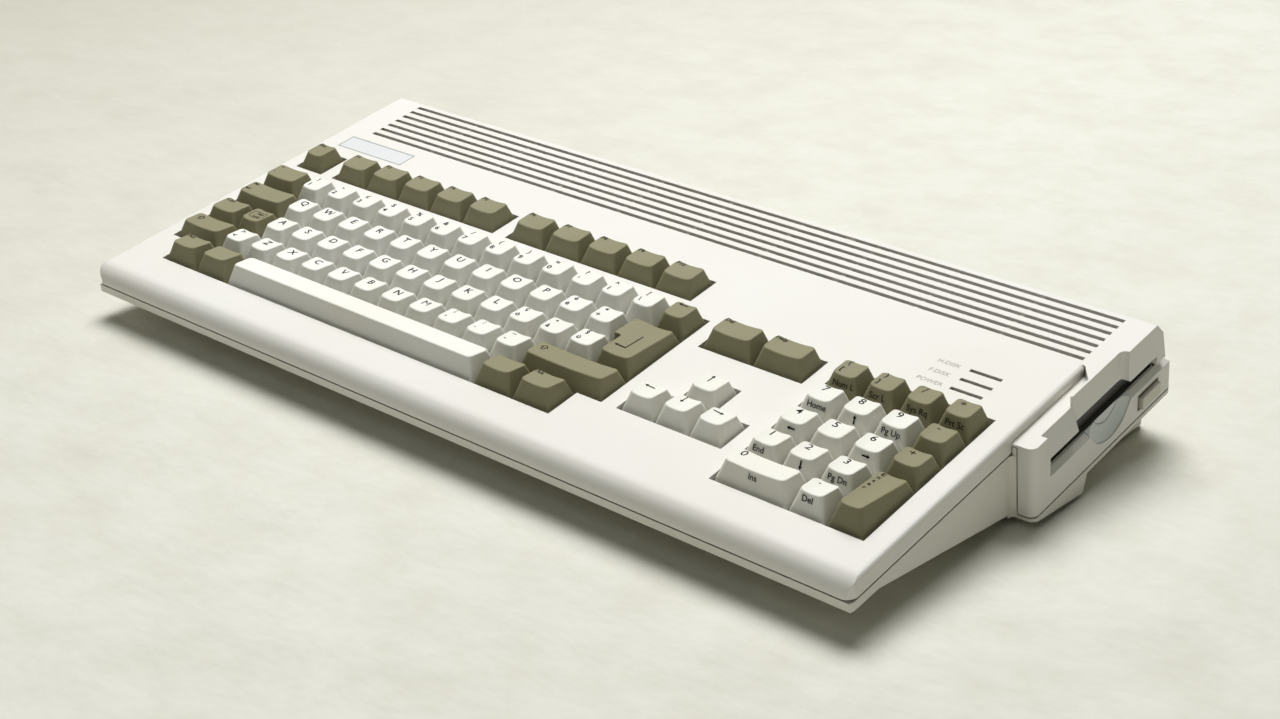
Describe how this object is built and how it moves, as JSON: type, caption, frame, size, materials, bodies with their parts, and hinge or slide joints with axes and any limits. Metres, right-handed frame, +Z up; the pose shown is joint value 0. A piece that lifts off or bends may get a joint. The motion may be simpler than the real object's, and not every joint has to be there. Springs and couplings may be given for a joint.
{
  "type": "home computer",
  "caption": "Wedge-shaped home computer with a full keyboard in its sloping deck, a side disk drive, rear sockets and sprung keys.",
  "frame": {"origin": "centre of the bounding box on the table", "axes": "+X to the right along the keyboard, +Y to the rear, +Z up"},
  "size_m": [0.4828, 0.2374, 0.0624],
  "materials": {
    "case_upper": "warm white, fine grain",
    "case_lower": "warm white, fine grain",
    "foot_rubber": "dark, soft",
    "zinc_steel": "plated",
    "badge_grey": "satin, bare",
    "frame_black": "dark",
    "sheet_rubber": "translucent grey",
    "membrane_film": "clear film with printed tracks",
    "board_green": "solder mask",
    "chip_black": "moulded",
    "ribbon_grey": "flat cable",
    "port_metal": "tinned shell",
    "bezel_plastic": "fine grain",
    "flap_black": "dark",
    "key_white": "fine grain",
    "key_olive": "fine grain"
  },
  "bodies": {
    "case": {"top_case": "case_upper", "bottom_case": "case_lower", "trapdoor": "case_lower", "rubber_feet": "foot_rubber", "case_screws": "zinc_steel", "badge_plate": "badge_grey", "blanking_plate": "case_lower", "keyboard_frame": "frame_black", "rubber_sheet": "sheet_rubber", "membrane": "membrane_film", "keyboard_backplate": "zinc_steel", "main_board": "board_green", "board_chips": "chip_black", "shield_upper": "zinc_steel", "shield_lower": "zinc_steel", "drive_chassis": "zinc_steel", "drive_cover": "zinc_steel", "drive_bezel": "bezel_plastic", "carriage_rails": "zinc_steel", "stepper_motor": "zinc_steel", "drive_board": "board_green", "ribbon_cables": "ribbon_grey", "led_board": "board_green", "card_socket": "frame_black", "power_socket": "frame_black", "disk_port": "port_metal", "serial_port": "port_metal", "parallel_port": "port_metal", "rf_box": "port_metal", "video_port": "port_metal", "audio_jacks": "port_metal", "controller_ports": "port_metal"},
    "dust_flap_body": {"dust_flap": "flap_black"},
    "spindle_hub_body": {"spindle_hub": "zinc_steel"},
    "head_carriage_body": {"head_carriage": "frame_black"},
    "lead_screw_body": {"lead_screw": "zinc_steel"},
    "eject_button_body": {"eject_button": "bezel_plastic"},
    "esc_key_body": {"esc_key": "key_olive"},
    "function_keys_left_body": {"function_keys_left": "key_olive"},
    "function_keys_right_body": {"function_keys_right": "key_olive"},
    "backquote_key_body": {"backquote_key": "key_olive"},
    "number_keys_body": {"number_keys": "key_white"},
    "backspace_key_body": {"backspace_key": "key_olive"},
    "tab_key_body": {"tab_key": "key_olive"},
    "upper_letter_keys_body": {"upper_letter_keys": "key_white"},
    "return_key_body": {"return_key": "key_olive"},
    "control_key_body": {"control_key": "key_olive"},
    "caps_lock_key_body": {"caps_lock_key": "key_olive"},
    "middle_letter_keys_body": {"middle_letter_keys": "key_white"},
    "left_shift_key_body": {"left_shift_key": "key_olive"},
    "lower_letter_keys_body": {"lower_letter_keys": "key_white"},
    "right_shift_key_body": {"right_shift_key": "key_olive"},
    "alt_keys_body": {"alt_keys": "key_olive"},
    "command_keys_body": {"command_keys": "key_olive"},
    "space_bar_body": {"space_bar": "key_white"},
    "edit_keys_body": {"edit_keys": "key_olive"},
    "cursor_keys_body": {"cursor_keys": "key_white"},
    "numpad_digit_keys_body": {"numpad_digit_keys": "key_white"},
    "numpad_sign_keys_body": {"numpad_sign_keys": "key_olive"},
    "enter_key_body": {"enter_key": "key_olive"}
  },
  "joints": [
    {"name": "esc_key_press", "type": "slide", "parent": "case", "child": "esc_key_body", "axis": [0, 0.1564, -0.9877], "range_m": [0, 0.0035], "stiffness_N_per_m": 150, "springref_m": -0.002},
    {"name": "function_keys_left_press", "type": "slide", "parent": "case", "child": "function_keys_left_body", "axis": [0, 0.1564, -0.9877], "range_m": [0, 0.0035], "stiffness_N_per_m": 750, "springref_m": -0.002},
    {"name": "function_keys_right_press", "type": "slide", "parent": "case", "child": "function_keys_right_body", "axis": [0, 0.1564, -0.9877], "range_m": [0, 0.0035], "stiffness_N_per_m": 750, "springref_m": -0.002},
    {"name": "backquote_key_press", "type": "slide", "parent": "case", "child": "backquote_key_body", "axis": [0, 0.1564, -0.9877], "range_m": [0, 0.0035], "stiffness_N_per_m": 150, "springref_m": -0.002},
    {"name": "number_keys_press", "type": "slide", "parent": "case", "child": "number_keys_body", "axis": [0, 0.1564, -0.9877], "range_m": [0, 0.0035], "stiffness_N_per_m": 1950, "springref_m": -0.002},
    {"name": "backspace_key_press", "type": "slide", "parent": "case", "child": "backspace_key_body", "axis": [0, 0.1564, -0.9877], "range_m": [0, 0.0035], "stiffness_N_per_m": 150, "springref_m": -0.002},
    {"name": "tab_key_press", "type": "slide", "parent": "case", "child": "tab_key_body", "axis": [0, 0.1564, -0.9877], "range_m": [0, 0.0035], "stiffness_N_per_m": 150, "springref_m": -0.002},
    {"name": "upper_letter_keys_press", "type": "slide", "parent": "case", "child": "upper_letter_keys_body", "axis": [0, 0.1564, -0.9877], "range_m": [0, 0.0035], "stiffness_N_per_m": 1800, "springref_m": -0.002},
    {"name": "return_key_press", "type": "slide", "parent": "case", "child": "return_key_body", "axis": [0, 0.1564, -0.9877], "range_m": [0, 0.0035], "stiffness_N_per_m": 150, "springref_m": -0.002},
    {"name": "control_key_press", "type": "slide", "parent": "case", "child": "control_key_body", "axis": [0, 0.1564, -0.9877], "range_m": [0, 0.0035], "stiffness_N_per_m": 150, "springref_m": -0.002},
    {"name": "caps_lock_key_press", "type": "slide", "parent": "case", "child": "caps_lock_key_body", "axis": [0, 0.1564, -0.9877], "range_m": [0, 0.0035], "stiffness_N_per_m": 150, "springref_m": -0.002},
    {"name": "middle_letter_keys_press", "type": "slide", "parent": "case", "child": "middle_letter_keys_body", "axis": [0, 0.1564, -0.9877], "range_m": [0, 0.0035], "stiffness_N_per_m": 1800, "springref_m": -0.002},
    {"name": "left_shift_key_press", "type": "slide", "parent": "case", "child": "left_shift_key_body", "axis": [0, 0.1564, -0.9877], "range_m": [0, 0.0035], "stiffness_N_per_m": 150, "springref_m": -0.002},
    {"name": "lower_letter_keys_press", "type": "slide", "parent": "case", "child": "lower_letter_keys_body", "axis": [0, 0.1564, -0.9877], "range_m": [0, 0.0035], "stiffness_N_per_m": 1650, "springref_m": -0.002},
    {"name": "right_shift_key_press", "type": "slide", "parent": "case", "child": "right_shift_key_body", "axis": [0, 0.1564, -0.9877], "range_m": [0, 0.0035], "stiffness_N_per_m": 150, "springref_m": -0.002},
    {"name": "alt_keys_press", "type": "slide", "parent": "case", "child": "alt_keys_body", "axis": [0, 0.1564, -0.9877], "range_m": [0, 0.0035], "stiffness_N_per_m": 300, "springref_m": -0.002},
    {"name": "command_keys_press", "type": "slide", "parent": "case", "child": "command_keys_body", "axis": [0, 0.1564, -0.9877], "range_m": [0, 0.0035], "stiffness_N_per_m": 300, "springref_m": -0.002},
    {"name": "space_bar_press", "type": "slide", "parent": "case", "child": "space_bar_body", "axis": [0, 0.1564, -0.9877], "range_m": [0, 0.0035], "stiffness_N_per_m": 150, "springref_m": -0.002},
    {"name": "edit_keys_press", "type": "slide", "parent": "case", "child": "edit_keys_body", "axis": [0, 0.1564, -0.9877], "range_m": [0, 0.0035], "stiffness_N_per_m": 300, "springref_m": -0.002},
    {"name": "cursor_keys_press", "type": "slide", "parent": "case", "child": "cursor_keys_body", "axis": [0, 0.1564, -0.9877], "range_m": [0, 0.0035], "stiffness_N_per_m": 600, "springref_m": -0.002},
    {"name": "numpad_digit_keys_press", "type": "slide", "parent": "case", "child": "numpad_digit_keys_body", "axis": [0, 0.1564, -0.9877], "range_m": [0, 0.0035], "stiffness_N_per_m": 1650, "springref_m": -0.002},
    {"name": "numpad_sign_keys_press", "type": "slide", "parent": "case", "child": "numpad_sign_keys_body", "axis": [0, 0.1564, -0.9877], "range_m": [0, 0.0035], "stiffness_N_per_m": 900, "springref_m": -0.002},
    {"name": "enter_key_press", "type": "slide", "parent": "case", "child": "enter_key_body", "axis": [0, 0.1564, -0.9877], "range_m": [0, 0.0035], "stiffness_N_per_m": 150, "springref_m": -0.002},
    {"name": "eject_press", "type": "slide", "parent": "case", "child": "eject_button_body", "axis": [-1, 0, 0], "range_m": [0, 0.004], "stiffness_N_per_m": 300, "springref_m": -0.001},
    {"name": "dust_flap_swing", "type": "hinge", "parent": "case", "child": "dust_flap_body", "pos_m": [0.2347, 0.05509, 0.0381], "axis": [0, 0.9877, 0.1564], "range_deg": [0, 80], "stiffness_Nm_per_rad": 0.0002, "springref_deg": -28.65},
    {"name": "spindle_turn", "type": "hinge", "parent": "case", "child": "spindle_hub_body", "pos_m": [0.1775, 0.05702, 0.02595], "axis": [0, -0.1564, 0.9877], "continuous": true},
    {"name": "carriage_slide", "type": "slide", "parent": "case", "child": "head_carriage_body", "axis": [1, 0, 0], "range_m": [0, 0.015]},
    {"name": "lead_screw_turn", "type": "hinge", "parent": "case", "child": "lead_screw_body", "pos_m": [0.1245, 0.08634, 0.03262], "axis": [1, 0, 0], "range_deg": [0, 1350.5]}
  ],
  "couplings": [
    {"joint": "lead_screw_turn", "follows": "carriage_slide", "rad_per_m": 1570.8}
  ]
}
